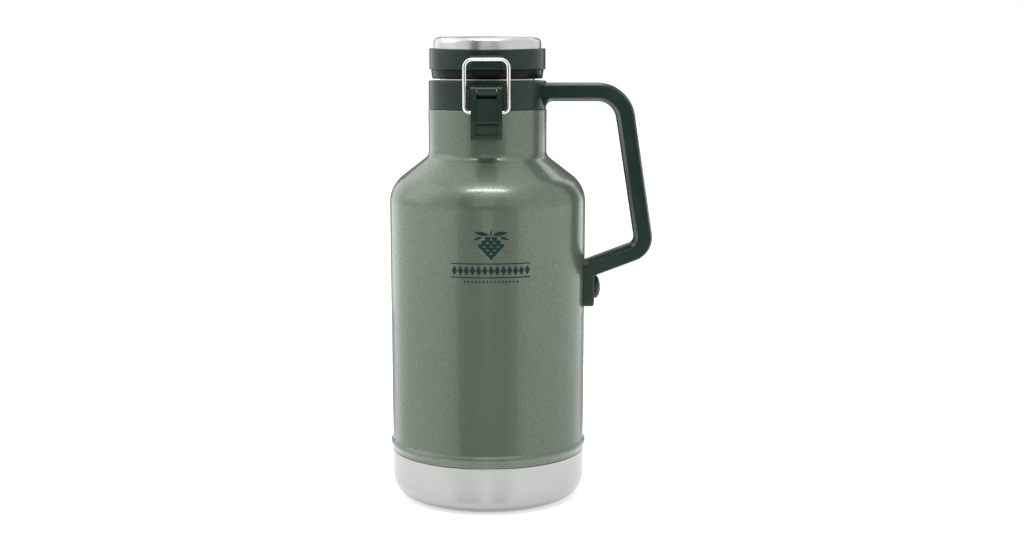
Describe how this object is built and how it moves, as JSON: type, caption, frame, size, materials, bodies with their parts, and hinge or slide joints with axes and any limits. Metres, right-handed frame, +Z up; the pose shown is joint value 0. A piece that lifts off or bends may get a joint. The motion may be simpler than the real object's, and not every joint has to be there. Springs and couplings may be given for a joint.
{
  "type": "growler",
  "caption": "Double-wall vacuum bottle for drink with a bare steel base, a collar and side handle, and a hinged plug lid held by an over-centre lever and wire bail.",
  "frame": {"origin": "on the bottle's axis at the level of the foot ring that it stands on", "axes": "+Z up along the bottle's axis, -Y out of the front with the latch, +X out along the handle, lid hinge at +Y"},
  "size_m": [0.174, 0.1304, 0.305],
  "materials": {
    "hammered_paint": "hammered",
    "base_steel": "brushed",
    "cap_steel": "brushed",
    "liner_steel": "satin",
    "plain_steel": "satin",
    "pin_steel": "ground",
    "wire_steel": "polished",
    "solder": "cast",
    "getter_metal": "matte",
    "green_moulding": "fine texture",
    "charcoal_moulding": "satin",
    "foam": "foamed",
    "silicone": "matte"
  },
  "bodies": {
    "vessel": {"outer_shell": "hammered_paint", "inner_liner": "liner_steel", "liner_bottom": "liner_steel", "vacuum_pan": "plain_steel", "vacuum_seal": "solder", "getter": "getter_metal", "base_cup": "base_steel", "collar_handle": "green_moulding", "handle_stud": "plain_steel", "handle_nut": "plain_steel", "nut_washer": "plain_steel", "nut_cover": "green_moulding", "hinge_pin": "pin_steel", "latch_pin": "pin_steel"},
    "lid": {"lid_ring": "green_moulding", "lid_cap": "cap_steel", "lid_core": "charcoal_moulding", "lid_foam": "foam", "lid_gasket": "silicone", "lid_screws": "plain_steel"},
    "lever": {"latch_lever": "green_moulding"},
    "bail": {"bail_wire": "wire_steel"}
  },
  "joints": [
    {"name": "lid_hinge", "type": "hinge", "parent": "vessel", "child": "lid", "pos_m": [0, 0.0445, 0.278], "axis": [-1, 0, 0], "range_deg": [0, 110]},
    {"name": "latch_lever", "type": "hinge", "parent": "vessel", "child": "lever", "pos_m": [0, -0.0433, 0.2705], "axis": [-1, 0, 0], "range_deg": [0, 130]},
    {"name": "bail_pivot", "type": "hinge", "parent": "lever", "child": "bail", "pos_m": [0, -0.0427, 0.257], "axis": [-1, 0, 0], "range_deg": [-234.5, 0.5]}
  ],
  "couplings": [
    {"joint": "bail_pivot", "follows": "latch_lever", "ratio": -1.8}
  ]
}
